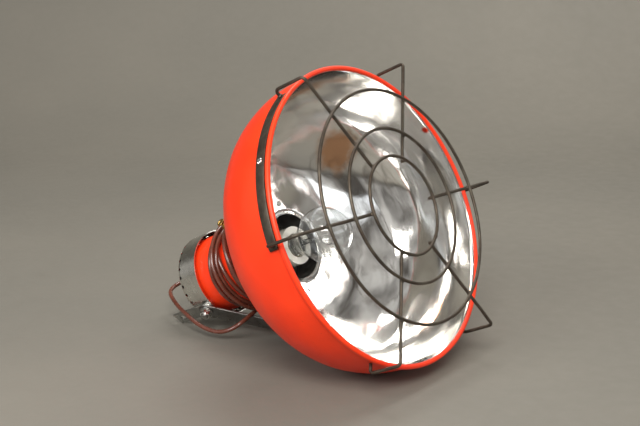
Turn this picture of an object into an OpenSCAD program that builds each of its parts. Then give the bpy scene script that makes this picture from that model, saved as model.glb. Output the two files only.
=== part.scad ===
// Reflector heat lamp with a wire guard, a vented rear cap, a hanging yoke and a wound lead.
// It lies as it rests on a floor: z = 0 is the floor, and the lamp opens towards -Y, tilted up.
// It rests on the shade's shoulder, the near chain lug's corner and the yoke's near corner.
// Lamp frame: the origin is the rim's centre, +z runs back along the lamp's axis, +y is down
// in the lamp's own plane, and an angle phi is counted from +y towards the -x side.

/* [Shade] */
// Radius of the opening inside the rolled rim
rim_r = 180; // [176:1:184]
// Thickness of the spun sheet
sheet = 1.2; // [1:0.1:1.4]
// Radius of the rolled bead at the rim
bead_r = 3; // [2.8:0.1:3.2]
// Straight depth behind the rim before the shoulder starts
skirt_h = 28; // [26:1:30]
// Radius of the rounded shoulder
shoulder_r = 116.5; // [114:0.5:118]
// Radius of the hole in the crown behind the bulb
crown_hole_r = 42; // [38:1:44]

/* [Rest] */
// Angle of the lamp's axis above the floor
tilt = 25.7; // [25.5:0.1:25.9]

/* [Guard] */
// Thickness of the guard wire
wire_d = 4; // [3.8:0.1:4.2]
// Radius of the inner ring
ring_inner_r = 60; // [56:1:64]
// Radius of the middle ring
ring_middle_r = 94; // [90:1:98]
// Radius of the outer ring
ring_outer_r = 142; // [138:1:146]
// Distance of the rings in front of the rim
guard_out = 38.5; // [36:0.5:40]
// Turn of the guard about the lamp's axis
guard_roll = 32.5; // [30:0.5:34]

/* [Neck and cap] */
// Outer radius of the neck tube
neck_r = 50; // [49:0.5:50]
// Outer radius of the vented cap
cap_r = 56.5; // [56:0.5:56.5]
// Depth of the vented cap
cap_h = 36; // [34:1:38]
// Number of vent holes round the cap's back edge
vent_count = 30; // [20:2:30]

/* [Yoke] */
// Width of the yoke's flat bar
yoke_w = 22; // [20:1:22]
// Thickness of the yoke's flat bar
yoke_t = 2.5; // [2:0.5:3]
// Swing of the arms forward of square to the lamp's axis
yoke_swing = 46.8; // [46:0.2:47]

/* [Lead] */
// Width of the lead
cord_d = 5.5; // [5:0.5:6]

/* [Hidden] */
$fn = 96;
overlap = 0.01;

// Shade
skirt_r = rim_r + 2 * bead_r - 3.3;
bead_c = rim_r + bead_r;
crown_z = skirt_h + shoulder_r;
crown_r = skirt_r - shoulder_r;
rim_height = crown_r * cos(tilt) + skirt_h * sin(tilt) + shoulder_r;
// The lamp's place along Y, which centres the fixture on the origin
lamp_y = -110.08;
lamp_x = 0;

// Guard
wire_r = wire_d / 2;
ring_z = -guard_out;
weld_sink = 0.05;
spoke_z = ring_z + wire_d - weld_sink;
leg_r = 195;
bend_r = 5;
leg_end_z = 5;
spoke_start_r = ring_inner_r - 2.5;
strap_w = 13;
strap_t = 2;
strap_z = 11;
strap_gap = 0.1;
free_tab_r = skirt_r + strap_gap;
strap_tab_r = free_tab_r + strap_t;
strap_screw_r = 2;

// Neck
neck_t = 1.2;
neck_end_z = 297;
flange_r = 63;
rivet_circle_r = 56.5;
rivet_count = 6;
rivet_r = 2;

// Cap
cap_z = 270;
cap_back_z = cap_z + cap_h;
cap_t = 1.2;
cap_round = 8;
vent_r = 2.1;
vent_z = 299;

// Pivots: they cross the neck near and far, at phi = pivot_phi and its opposite
pivot_phi = 50;
pivot_z = 282;
bolt_r = 4;
bolt_clear = 0.08;
lug_w = 18;
lug_t = 2.5;
lug_y = cap_r;
chain_hole_r = 4;
arm_gap = 0.3;
arm_y = lug_y + lug_t + arm_gap;
arm_out_y = arm_y + yoke_t;
washer_gap = 0.15;
washer_t = 1.6;
washer_r = 8.5;
nut_t = 6.5;
nut_af = 13;
bolt_end_y = arm_out_y + washer_gap + washer_t + nut_t + 2;
// The yoke's outer corner and the near lug's corner both meet the floor
arm_run = sin(pivot_phi) * cos(tilt) * cos(yoke_swing) - sin(tilt) * sin(yoke_swing);
arm_start = rim_height - cos(pivot_phi) * cos(tilt) * arm_out_y
    - sin(pivot_phi) * cos(tilt) * yoke_w / 2 * sin(yoke_swing)
    - sin(tilt) * (pivot_z + yoke_w / 2 * cos(yoke_swing));
arm_len = arm_start / arm_run;
lug_drop = cos(pivot_phi) * (lug_y + lug_t) + sin(pivot_phi) * lug_w / 2;
lug_end_z = (rim_height - cos(tilt) * lug_drop) / sin(tilt);
yoke_hole_r = 5.25;

// Lampholder
holder_z = 139.5;
carrier_z = 204.5;
carrier_t = 1.5;
carrier_ring = 18;
holder_r = 24.5;
holder_neck_r = 21;
shell_in_r = 13.25;
shell_out_r = 13.9;
shell_z = 143;
shell_end_z = 170;
screw_spread = 15;
terminal_spread = 14;
terminal_r = 4;
terminal_len = 12;
lock_phi = [138, 258];
lock_z = 198;
lock_r = 2.5;
lock_end_r = 78;
lock_nut_at = 69;

// Gland, off the centre of the cap's back
gland_x = 20;
gland_y = -8;
gland_end_z = 309.5;
sleeve_end_z = 330;
lead_r = 1.3;

// Bulb
globe_r = 35;
globe_z = 90;
glass_t = 0.8;
base_r = 13.2;
base_z = 139;
base_end_z = 163;
tip_z = 166;
tip_end_z = 168;
filament_z = 88;
filament_ring_r = 13;

// Lead: a winding on the neck, a free loop at the near side and a tail to the plug
cord_r = cord_d / 2;
wind_z = 150;
wind_end_z = 250;
wind_r = 58.6;
screw_way_r = 6;
cord_sides = 10;
ring_guide = [0.3, 0, 1];
cord_seat_z = 305;
loop_start = [for (z = [cord_seat_z, 313, 321, sleeve_end_z]) [gland_x, gland_y, z]];
// The route points are on the floor, with the rim's centre above y = 0
loop_route = [
    [19, 305, 50], [16.5, 310.5, 47.5], [12.5, 315.5, 45.3], [7, 320, 43.2], [1, 323, 41.2],
    [-6, 324.8, 39.4], [-13.5, 325, 37.8], [-21, 323.3, 36.4], [-28, 319.5, 35],
    [-34, 313.5, 33.5], [-39, 306, 31.8], [-43.5, 298, 30], [-47.5, 290, 28.2],
    [-51, 282, 26.6], [-54.2, 274, 25.2], [-56.8, 266, 23.6], [-58.8, 258.5, 21.6],
    [-60.3, 251, 19.4], [-61.5, 243.5, 17.2], [-62, 236, 15.2], [-62.2, 228.5, 13.6],
    [-62, 220.5, 12.6], [-61.3, 212.5, 12.1], [-60, 204.5, 12.4], [-58.3, 196.7, 13.8],
    [-56.3, 189.5, 16.3], [-53.5, 183, 20], [-50, 177.8, 24.8], [-45.5, 174.5, 29.8],
    [-40, 173.2, 34.2], [-34, 173.8, 37.8], [-27.5, 176, 40.6], [-21, 179.2, 43.2]
];
tail_route = [
    [-7, 113, 72.5], [0.5, 112.7, 70], [8.5, 111.8, 68.8], [16.5, 110.3, 67.3],
    [24.5, 108.5, 65], [32.3, 106.6, 61.7], [39.6, 105, 57.3], [46.5, 103.9, 51.8],
    [52.8, 103.3, 45.3], [58.8, 103.3, 38], [64.8, 103.9, 30.6], [71.5, 105.3, 23.4],
    [79, 107.7, 17.2], [87, 110.6, 12.4], [95.5, 113.6, 9.3], [104, 116.1, 7.8],
    [113, 117.5, 7.4]
];
plug_at = [113, 117.5, 7.4];
plug_len = 38;
plug_w = 34;
plug_h = 14;
pin_r = 2;
pin_len = 19;
pin_spacing = 19;

// Places its children, given in the lamp's frame, as the lamp rests on the floor.
module in_lamp() {
    translate([lamp_x, lamp_y, rim_height]) rotate([-(90 + tilt), 0, 0]) children();
}

// Turns +y to the direction phi round the lamp's axis.
module around(phi) {
    rotate([0, 0, phi]) children();
}

// A cylinder along +y from y0 to y1, at height z on the lamp's axis.
module radial(r, y0, y1, z = 0) {
    translate([0, y0, z]) rotate([-90, 0, 0]) cylinder(r = r, h = y1 - y0);
}

module hex_prism(across, h) {
    cylinder(r = across / 2 / cos(30), h = h, $fn = 6);
}

// A cylinder from one point to another.
module rod(from, to, r) {
    run = to - from;
    translate(from)
        rotate([0, acos(run.z / norm(run)), atan2(run.y, run.x)])
            cylinder(r = r, h = norm(run));
}

module ring_wire(ring_r, z) {
    translate([0, 0, z]) rotate_extrude() translate([ring_r, 0]) circle(r = wire_r, $fn = 32);
}

// ---- Shade, neck and cap ----

module shade() {
    color("orangered") in_lamp() difference() {
        rotate_extrude($fn = 180) {
            difference() {
                union() {
                    translate([bead_c, 0]) circle(r = bead_r, $fn = 48);
                    translate([skirt_r - sheet, 0]) square([sheet, skirt_h + overlap]);
                }
                translate([bead_c, 0]) circle(r = bead_r - sheet, $fn = 32);
            }
            translate([crown_r, skirt_h]) intersection() {
                difference() {
                    circle(r = shoulder_r, $fn = 180);
                    circle(r = shoulder_r - sheet, $fn = 180);
                }
                square(shoulder_r + 1);
            }
            translate([crown_hole_r, crown_z - sheet])
                square([crown_r - crown_hole_r + overlap, sheet]);
        }
        for (phi = [guard_roll + 90, guard_roll - 90])
            around(phi) radial(strap_screw_r, skirt_r - 4, skirt_r + 4, strap_z);
        for (i = [0:rivet_count - 1])
            around(i * 360 / rivet_count) translate([0, rivet_circle_r, crown_z - 3])
                cylinder(r = rivet_r, h = 6);
    }
}

module neck_housing() {
    color("orangered") in_lamp() difference() {
        union() {
            translate([0, 0, crown_z]) cylinder(r = neck_r, h = neck_end_z - crown_z);
            translate([0, 0, crown_z]) cylinder(r = flange_r, h = neck_t);
        }
        translate([0, 0, crown_z - 1])
            cylinder(r = neck_r - neck_t, h = neck_end_z - crown_z + 2);
        for (i = [0:rivet_count - 1])
            around(i * 360 / rivet_count) translate([0, rivet_circle_r, crown_z - 3])
                cylinder(r = rivet_r, h = 6);
        for (phi = [pivot_phi, pivot_phi + 180])
            around(phi) radial(bolt_r, neck_r - 6, neck_r + 2, pivot_z);
        for (phi = lock_phi) around(phi) radial(lock_r, neck_r - 6, neck_r + 2, lock_z);
    }
}

module neck_rivets() {
    color("silver") in_lamp() for (i = [0:rivet_count - 1])
        around(i * 360 / rivet_count) translate([0, rivet_circle_r, 0]) {
            translate([0, 0, crown_z - sheet - 1]) cylinder(r = 3.4, h = 1);
            translate([0, 0, crown_z - sheet - 0.5]) cylinder(r = rivet_r, h = sheet + neck_t + 1);
            translate([0, 0, crown_z + neck_t]) cylinder(r1 = 3.6, r2 = 2.4, h = 1.4);
        }
}

module cap_profile(r, h, rounding) {
    square([r, h - rounding]);
    square([r - rounding, h]);
    translate([r - rounding, h - rounding]) circle(r = rounding, $fn = 64);
}

module vent_cap() {
    color("gainsboro") in_lamp() difference() {
        translate([0, 0, cap_z]) rotate_extrude($fn = 180) difference() {
            cap_profile(cap_r, cap_h, cap_round);
            translate([-overlap, -overlap])
                cap_profile(cap_r - cap_t, cap_h - cap_t, cap_round - cap_t);
            translate([-200, -1]) square([200, 200]);
        }
        for (i = [0:vent_count - 1])
            around((i + 0.5) * 360 / vent_count) radial(vent_r, cap_r - 8, cap_r + 2, vent_z);
        for (phi = [pivot_phi, pivot_phi + 180])
            around(phi) radial(bolt_r, cap_r - 6, cap_r + 2, pivot_z);
        translate([gland_x, gland_y, cap_back_z - 4]) cylinder(r = 6, h = 8);
    }
}

module cap_spacers() {
    seat = sqrt(pow(cap_r - cap_t, 2) - 49);
    color("darkgray") in_lamp() for (phi = [pivot_phi, pivot_phi + 180])
        around(phi) difference() {
            radial(7, neck_r, seat, pivot_z);
            radial(bolt_r, neck_r - 1, seat + 1, pivot_z);
        }
}

// ---- Yoke, lugs and their pivots ----

module pivot_bolts() {
    head_top = sqrt(pow(neck_r - neck_t, 2) - 64);
    color("silver") in_lamp() for (phi = [pivot_phi, pivot_phi + 180])
        around(phi) {
            radial(bolt_r, head_top - overlap, bolt_end_y, pivot_z);
            translate([0, head_top - 5.3, pivot_z]) rotate([-90, 0, 0]) hex_prism(nut_af, 5.3);
        }
}

module pivot_washers() {
    color("lightgray") in_lamp() for (phi = [pivot_phi, pivot_phi + 180])
        around(phi) difference() {
            radial(washer_r, arm_out_y + washer_gap, arm_out_y + washer_gap + washer_t, pivot_z);
            radial(bolt_r, arm_out_y - 1, arm_out_y + 5, pivot_z);
        }
}

module pivot_nuts() {
    nut_y = arm_out_y + washer_gap + washer_t;
    color("whitesmoke") in_lamp() for (phi = [pivot_phi, pivot_phi + 180])
        around(phi) difference() {
            translate([0, nut_y, pivot_z]) rotate([-90, 0, 0]) hex_prism(nut_af, nut_t);
            radial(bolt_r, nut_y - 1, nut_y + nut_t + 1, pivot_z);
        }
}

// A flat strap under the pivot that runs back past the cap and ends in a chain hole.
module chain_lug(phi) {
    in_lamp() around(phi) difference() {
        union() {
            radial(lug_w / 2, lug_y, lug_y + lug_t, pivot_z);
            translate([-lug_w / 2, lug_y, pivot_z]) cube([lug_w, lug_t, lug_end_z - pivot_z]);
        }
        radial(bolt_r, lug_y - 1, lug_y + lug_t + 1, pivot_z);
        radial(chain_hole_r, lug_y - 1, lug_y + lug_t + 1, lug_end_z - 11);
    }
}

module chain_lug_near() {
    color("lightslategray") chain_lug(pivot_phi);
}

module chain_lug_far() {
    color("lightslategray") chain_lug(pivot_phi + 180);
}

// One flat bar bent to a U: an arm at each pivot and a bridge across their far ends.
// The yoke is one bent bar: two arms and a bridge that meet face to face.
module yoke_frame() {
    in_lamp() around(pivot_phi) translate([0, 0, pivot_z]) rotate([0, yoke_swing, 0]) children();
}

module yoke_arm(side) {
    yoke_frame() scale([1, side, 1]) difference() {
        union() {
            radial(yoke_w / 2, arm_y, arm_out_y);
            translate([0, arm_y, -yoke_w / 2]) cube([arm_len - yoke_t, yoke_t, yoke_w]);
        }
        radial(bolt_r + bolt_clear, arm_y - 1, arm_out_y + 1);
    }
}

module yoke_arm_near() {
    color("slategray") yoke_arm(1);
}

module yoke_arm_far() {
    color("slategray") yoke_arm(-1);
}

module yoke_bridge() {
    color("slategray") yoke_frame() difference() {
        translate([arm_len - yoke_t, -arm_out_y, -yoke_w / 2])
            cube([yoke_t, 2 * arm_out_y, yoke_w]);
        translate([arm_len - yoke_t - 1, 0, 0]) rotate([0, 90, 0])
            cylinder(r = yoke_hole_r, h = yoke_t + 2);
    }
}

// ---- Guard ----

module guard_ring_inner() {
    color("dimgray") in_lamp() ring_wire(ring_inner_r, ring_z);
}

module guard_ring_middle() {
    color("dimgray") in_lamp() ring_wire(ring_middle_r, ring_z);
}

module guard_ring_outer() {
    color("dimgray") in_lamp() ring_wire(ring_outer_r, ring_z);
}

// A quarter bend of wire in the y-z plane, from +y at the start to +z at the end.
module wire_bend() {
    rotate([90, 0, 90]) translate([0, bend_r, 0]) rotate([0, 0, -90])
        rotate_extrude(angle = 90) translate([bend_r, 0]) circle(r = wire_r, $fn = 32);
}

// One spoke: out across the rings, back along the shade's side and in to end at tab_r.
module spoke(tab_r) {
    radial(wire_r, spoke_start_r, leg_r - bend_r, spoke_z);
    translate([0, leg_r - bend_r, spoke_z]) wire_bend();
    translate([0, leg_r, spoke_z + bend_r])
        cylinder(r = wire_r, h = leg_end_z - spoke_z - bend_r);
    translate([0, leg_r, leg_end_z]) rotate([90, 0, 0]) wire_bend();
    radial(wire_r, tab_r, leg_r - bend_r, leg_end_z + bend_r);
}

module guard_spokes() {
    color("dimgray") in_lamp() for (i = [0:5])
        around(guard_roll + i * 60) spoke(i % 3 == 0 ? free_tab_r : strap_tab_r);
}

// A flat strap that joins two spokes' ends along the shade's side.
module guard_strap(phi) {
    color("dimgray") in_lamp() around(phi) difference() {
        translate([0, 0, strap_z - strap_w / 2]) rotate([0, 0, 58]) rotate_extrude(angle = 64)
            translate([skirt_r + strap_gap, 0]) square([strap_t, strap_w]);
        radial(strap_screw_r, skirt_r - 4, skirt_r + 8, strap_z);
    }
}

module guard_strap_near() {
    guard_strap(guard_roll + 90);
}

module guard_strap_far() {
    guard_strap(guard_roll - 90);
}

module strap_screws() {
    seat = skirt_r + strap_gap + strap_t;
    color("silver") in_lamp() for (phi = [guard_roll + 90, guard_roll - 90])
        around(phi) {
            radial(strap_screw_r, skirt_r - sheet - 2, seat + overlap, strap_z);
            translate([0, seat, strap_z]) rotate([-90, 0, 0]) cylinder(r1 = 3.8, r2 = 2.8, h = 2);
        }
}

// ---- Lampholder ----

module holder_carrier() {
    color("silver") in_lamp() difference() {
        translate([0, 0, carrier_z + carrier_t - carrier_ring])
            cylinder(r = neck_r - neck_t, h = carrier_ring);
        translate([0, 0, carrier_z - carrier_ring - 5])
            cylinder(r = neck_r - neck_t - 1.5, h = carrier_ring + 5);
        translate([0, 0, carrier_z - 1]) for (i = [0:5])
            around(i * 60 + 30) translate([0, 34, 0]) cylinder(r = 7, h = 5);
        for (side = [-1, 1]) {
            translate([side * screw_spread, 0, carrier_z - 1]) cylinder(r = 2, h = 5);
            translate([0, side * terminal_spread, carrier_z - 1]) cylinder(r = 5, h = 5);
        }
        for (phi = lock_phi) around(phi) radial(lock_r, neck_r - 6, neck_r + 2, lock_z);
    }
}

module holder_body() {
    color("white") in_lamp() difference() {
        union() {
            translate([0, 0, holder_z]) cylinder(r = holder_r, h = 42);
            translate([0, 0, holder_z + 42]) cylinder(r1 = holder_r, r2 = holder_neck_r, h = 4);
            translate([0, 0, holder_z + 46])
                cylinder(r = holder_neck_r, h = carrier_z - holder_z - 46);
        }
        translate([0, 0, holder_z - 1]) cylinder(r = shell_out_r, h = shell_end_z - holder_z + 1);
        translate([0, 0, holder_z - overlap])
            cylinder(r1 = shell_out_r + 1.6, r2 = shell_out_r, h = 2.5);
        for (side = [-1, 1]) {
            translate([side * screw_spread, 0, carrier_z - 12]) cylinder(r = 2, h = 14);
            translate([0, side * terminal_spread, carrier_z - terminal_len])
                cylinder(r = terminal_r, h = terminal_len + 1);
        }
    }
}

module thread_shell() {
    color("goldenrod") in_lamp() translate([0, 0, shell_z]) difference() {
        cylinder(r = shell_out_r, h = shell_end_z - shell_z);
        translate([0, 0, -1]) cylinder(r = shell_in_r, h = shell_end_z - shell_z + 2);
    }
}

module centre_contact() {
    color("goldenrod") in_lamp() {
        translate([-4, -9, shell_end_z - 0.8]) cube([8, 18, 0.8]);
        translate([0, 0, tip_end_z + 0.1]) cylinder(r = 3.5, h = shell_end_z - tip_end_z - 0.5);
    }
}

module terminals() {
    color("goldenrod") in_lamp() for (side = [-1, 1])
        translate([0, side * terminal_spread, carrier_z - terminal_len])
            cylinder(r = terminal_r, h = terminal_len);
}

module holder_screws() {
    color("silver") in_lamp() for (side = [-1, 1])
        translate([side * screw_spread, 0, carrier_z - 12]) {
            cylinder(r = 2, h = 12 + carrier_t + overlap);
            translate([0, 0, 12 + carrier_t]) cylinder(r1 = 3.8, r2 = 3, h = 2.4);
        }
}

module holder_lock_screws() {
    color("gold") in_lamp() for (phi = lock_phi) around(phi) {
        radial(lock_r, neck_r - neck_t - 1.5, lock_end_r + overlap, lock_z);
        radial(5.2, lock_end_r, lock_end_r + 3, lock_z);
    }
}

module holder_lock_nuts() {
    color("gold") in_lamp() for (phi = lock_phi) around(phi) difference() {
        translate([0, lock_nut_at, lock_z]) rotate([-90, 0, 0]) hex_prism(8, 3.5);
        radial(lock_r, lock_nut_at - 1, lock_nut_at + 5, lock_z);
    }
}

// ---- Leads and gland ----

module lead(side) {
    in_lamp() {
        translate([0, side * terminal_spread, carrier_z]) cylinder(r = lead_r, h = 12);
        rod([0, side * terminal_spread, carrier_z + 11.5],
            [gland_x, gland_y + side * 1.5, cap_back_z - 9], lead_r);
    }
}

module lead_live() {
    color("brown") lead(1);
}

module lead_neutral() {
    color("steelblue") lead(-1);
}

module gland_body() {
    color("black") in_lamp() translate([gland_x, gland_y, 0]) difference() {
        union() {
            translate([0, 0, cap_back_z - 8]) cylinder(r = 6, h = 8 + overlap);
            translate([0, 0, cap_back_z]) cylinder(r = 9, h = gland_end_z - cap_back_z);
        }
        translate([0, 0, cord_seat_z]) cylinder(r = cord_r + 0.3, h = 20);
    }
}

module gland_nut() {
    color("black") in_lamp() translate([gland_x, gland_y, cap_back_z - cap_t - 4.1]) difference() {
        hex_prism(15, 4);
        translate([0, 0, -1]) cylinder(r = 6, h = 6);
    }
}

module strain_relief() {
    color("black") in_lamp() translate([gland_x, gland_y, gland_end_z]) difference() {
        cylinder(r1 = 6, r2 = 3.9, h = sleeve_end_z - gland_end_z);
        translate([0, 0, -1]) cylinder(r = cord_r + 0.3, h = 30);
    }
}

// ---- Bulb ----

module glass_outline(inset) {
    translate([0, globe_z]) circle(r = globe_r - inset, $fn = 96);
    polygon([[0, globe_z + 24], [25.5 - inset, globe_z + 24], [20.5 - inset, globe_z + 30],
        [17 - inset, globe_z + 37], [14.6 - inset, globe_z + 44], [12.6 - inset, base_z - 0.2],
        [12.6 - inset, base_z + 6 + inset], [0, base_z + 6 + inset]]);
}

module bulb_glass() {
    color("azure", 0.4) in_lamp() rotate_extrude($fn = 120) difference() {
        glass_outline(0);
        glass_outline(glass_t);
        translate([-100, -100]) square([100, 400]);
    }
}

module bulb_base() {
    color("lightgray") in_lamp() translate([0, 0, base_z]) difference() {
        cylinder(r = base_r, h = base_end_z - base_z);
        translate([0, 0, -1]) cylinder(r = 12.7, h = base_end_z - base_z);
        cylinder(r = 8, h = 40);
    }
}

module bulb_insulator() {
    color("black") in_lamp() translate([0, 0, base_end_z])
        cylinder(r1 = 9.5, r2 = 5, h = tip_z - base_end_z);
}

module bulb_contact() {
    color("silver") in_lamp() translate([0, 0, tip_z]) cylinder(r1 = 4.6, r2 = 3, h = 2);
}

module bulb_stem() {
    color("azure", 0.6) in_lamp() {
        translate([0, 0, filament_z + 22]) cylinder(r = 2.6, h = 24);
        translate([0, 0, filament_z + 46 - overlap])
            cylinder(r1 = 2.6, r2 = 11.5, h = base_z + 5 - filament_z - 46);
    }
}

module bulb_lead_in_wires() {
    color("silver") in_lamp() for (side = [-1, 1])
        rod([side * filament_ring_r, 0, filament_z + 0.8], [side * 3.2, 0, filament_z + 26], 0.4);
}

module bulb_filament() {
    color("gray") in_lamp() translate([0, 0, filament_z]) rotate_extrude(angle = 180)
        translate([filament_ring_r, 0]) circle(r = 0.8, $fn = 16);
}

// ---- Lead outside the lamp ----

function unit(v) = v / norm(v);

// A point of the lamp's frame, on the floor frame with the rim's centre above y = 0.
function on_floor(p) = [p.x, p.z * cos(tilt) - p.y * sin(tilt),
    rim_height - p.y * cos(tilt) - p.z * sin(tilt)];

function tangent(path, i) =
    unit(path[min(i + 1, len(path) - 1)] - path[max(i - 1, 0)]);

function ring_points(path, i, r) =
    let (t = tangent(path, i), u = unit(cross(t, ring_guide)), v = cross(t, u))
    [for (k = [0:cord_sides - 1])
        path[i] + r * (cos(k * 360 / cord_sides) * u + sin(k * 360 / cord_sides) * v)];

// One closed tube swept along a route.
module cord_tube(path, r) {
    rings = len(path);
    points = [for (i = [0:rings - 1]) each ring_points(path, i, r)];
    sides = [for (i = [0:rings - 2], k = [0:cord_sides - 1])
        let (a = i * cord_sides + k, b = i * cord_sides + (k + 1) % cord_sides)
        [a, a + cord_sides, b + cord_sides, b]];
    first = [for (k = [0:cord_sides - 1]) k];
    last = [for (k = [cord_sides - 1:-1:0]) (rings - 1) * cord_sides + k];
    polyhedron(points, concat(sides, [first], [last]));
}

module cord_loop() {
    color("saddlebrown") translate([lamp_x, lamp_y, 0])
        cord_tube(concat([for (p = loop_start) on_floor(p)], loop_route), cord_r);
}

module cord_winding() {
    color("saddlebrown") in_lamp() difference() {
        translate([0, 0, wind_z]) rotate_extrude()
            translate([neck_r, 0]) square([wind_r - neck_r, wind_end_z - wind_z]);
        for (phi = lock_phi) around(phi) radial(screw_way_r, neck_r - 2, wind_r + 2, lock_z);
    }
}

module cord_tail() {
    color("saddlebrown") translate([lamp_x, lamp_y, 0]) cord_tube(tail_route, cord_r);
}

module plug_body() {
    color("saddlebrown") translate([lamp_x, lamp_y, 0] + plug_at) {
        translate([8, -plug_w / 2, -plug_h / 2]) cube([plug_len - 8, plug_w, plug_h]);
        rotate([0, 90, 0]) cylinder(r1 = 4.5, r2 = 6.8, h = 8);
    }
}

module plug_pins() {
    color("silver") translate([lamp_x, lamp_y, 0] + plug_at) for (side = [-1, 1])
        translate([plug_len, side * pin_spacing / 2, 0]) rotate([0, 90, 0])
            cylinder(r = pin_r, h = pin_len);
}

shade();
neck_housing();
neck_rivets();
vent_cap();
cap_spacers();
pivot_bolts();
pivot_washers();
pivot_nuts();
chain_lug_near();
chain_lug_far();
yoke_arm_near();
yoke_arm_far();
yoke_bridge();
guard_ring_inner();
guard_ring_middle();
guard_ring_outer();
guard_spokes();
guard_strap_near();
guard_strap_far();
strap_screws();
holder_carrier();
holder_body();
thread_shell();
centre_contact();
terminals();
holder_screws();
holder_lock_screws();
holder_lock_nuts();
lead_live();
lead_neutral();
gland_body();
gland_nut();
strain_relief();
bulb_glass();
bulb_base();
bulb_insulator();
bulb_contact();
bulb_stem();
bulb_lead_in_wires();
bulb_filament();
cord_loop();
cord_winding();
cord_tail();
plug_body();
plug_pins();
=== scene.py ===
import math

import bmesh
import bpy
from mathutils import Matrix, Vector, noise


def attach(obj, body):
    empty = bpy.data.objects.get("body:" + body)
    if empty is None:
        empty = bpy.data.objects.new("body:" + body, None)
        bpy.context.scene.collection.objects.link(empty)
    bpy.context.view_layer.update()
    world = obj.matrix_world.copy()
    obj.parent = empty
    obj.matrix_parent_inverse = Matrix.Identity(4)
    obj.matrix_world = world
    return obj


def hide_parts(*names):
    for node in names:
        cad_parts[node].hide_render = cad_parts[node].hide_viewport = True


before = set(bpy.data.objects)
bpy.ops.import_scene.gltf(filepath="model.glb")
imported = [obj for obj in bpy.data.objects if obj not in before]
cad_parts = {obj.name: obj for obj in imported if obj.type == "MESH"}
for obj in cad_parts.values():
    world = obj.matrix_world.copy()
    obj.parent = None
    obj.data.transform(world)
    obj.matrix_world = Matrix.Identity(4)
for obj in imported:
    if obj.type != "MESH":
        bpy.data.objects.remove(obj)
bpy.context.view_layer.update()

# ---------------------------------------------------------------- the lamp's frame
# Lengths below are in mm; W and P turn them into metres in the shared frame.
MM = 0.001
TILT = math.radians(25.7)
CT, ST = math.cos(TILT), math.sin(TILT)
LAMP_Y = -110.08
RIM_H = 188.2938
NEAR = 50.0  # azimuth of the near pivot
ROLL = 32.5  # azimuth of the lowest spoke
PIVOT_Z = 282  # the pivots' place along the axis
YOKE_OUT = 61.8  # the outer faces of the yoke's arms, off the axis
NECK_R = 50.0  # the neck's outside
UNPAINTED_SHADED_R = 49.4  # inside this radius the neck is unpainted sheet, coloured dark as painted shade
LOCK_Z, LOCK_PHI = 198, (138, 258)  # the two lock screws


def W(x, y, z):
    """A point of the lamp's frame: origin at the rim's centre, z back along the axis, y down."""
    return Vector((x, LAMP_Y - y * ST + z * CT, RIM_H - y * CT - z * ST)) * MM


def P(x, y, z):
    """A point above the floor, with the rim's centre above y = 0."""
    return Vector((x, y + LAMP_Y, z)) * MM


def pol(phi, r, z):
    """W of cylindrical coordinates; phi turns from straight down to the near side."""
    a = math.radians(phi)
    return W(-math.sin(a) * r, math.cos(a) * r, z)


def local(v):
    """The lamp's frame coordinates, in mm, of a point in metres."""
    y, h = v.y / MM - LAMP_Y, RIM_H - v.z / MM
    return Vector((v.x / MM, h * CT - y * ST, y * CT + h * ST))


AXIS = (W(0, 0, 1) - W(0, 0, 0)).normalized()


def radial(phi):
    """The outward unit direction at azimuth phi."""
    v = pol(phi, 1000, 0) - pol(phi, 0, 0)
    return v.normalized()


# ---------------------------------------------------------------- camera
cam_data = bpy.data.cameras.new("camera")
cam = bpy.data.objects.new("camera", cam_data)
bpy.context.scene.collection.objects.link(cam)
bpy.context.scene.camera = cam
cam_data.sensor_width = 36
cam_data.lens = 72.14
cam_data.clip_end = 50
right = Vector((0.606262, -0.795265, 0.0))
down = Vector((-0.205289, -0.1565, -0.966108))
ahead = Vector((0.768312, 0.585714, -0.25814))
cam.matrix_world = Matrix.Translation(P(-1207.16, -831.51, 581.02)) @ Matrix(
    (
        (right.x, -down.x, -ahead.x),
        (right.y, -down.y, -ahead.y),
        (right.z, -down.z, -ahead.z),
    )
).to_4x4()


# ---------------------------------------------------------------- mesh helpers
def make(name, verts, faces, mats, body, slot, index=None):
    """A smooth-shaded object; index gives each face's place in the list mats."""
    me = bpy.data.meshes.new(name)
    me.from_pydata([tuple(v) for v in verts], [], faces)
    for m in mats if isinstance(mats, list) else [mats]:
        me.materials.append(m)
    if index:
        for p, i in zip(me.polygons, index):
            p.material_index = i
    bm = bmesh.new()
    bm.from_mesh(me)
    bmesh.ops.remove_doubles(bm, verts=bm.verts, dist=2e-7)
    bmesh.ops.recalc_face_normals(bm, faces=bm.faces)
    bm.to_mesh(me)
    bm.free()
    for p in me.polygons:
        p.use_smooth = True
    ob = bpy.data.objects.new(name, me)
    bpy.context.scene.collection.objects.link(ob)
    if body:
        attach(ob, body)
    return ob


def bands(rings, per, wrap=False):
    """Quads between rings of per vertices each; wrap joins the last ring to the first."""
    faces = []
    for i in range(rings if wrap else rings - 1):
        a, b = i * per, (i + 1) % rings * per
        for k in range(per):
            j = (k + 1) % per
            faces.append((a + k, a + j, b + j, b + k))
    return faces


def ends(rings, per):
    """The two faces that close a stack of rings."""
    return [tuple(range(per)), tuple((rings - 1) * per + k for k in range(per))]


def spun(base, u, v, axis, rings, start=0.0):
    """Points of rings about axis, in mm from base; a ring lists (radius, height) round it."""
    verts = []
    for ring in rings:
        for k, (r, z) in enumerate(ring):
            a = 2 * math.pi * k / len(ring) + start
            x, y = r * math.cos(a), r * math.sin(a)
            verts.append(base + u * (x * MM) + v * (y * MM) + axis * (z * MM))
    return verts


def sharpen(ob, angle=35):
    """Hard edges where faces meet at more than angle, smooth elsewhere."""
    bm = bmesh.new()
    bm.from_mesh(ob.data)
    for e in bm.edges:
        e.smooth = len(e.link_faces) == 2 and e.calc_face_angle(0) < math.radians(angle)
    bm.to_mesh(ob.data)
    bm.free()
    return ob


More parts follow.
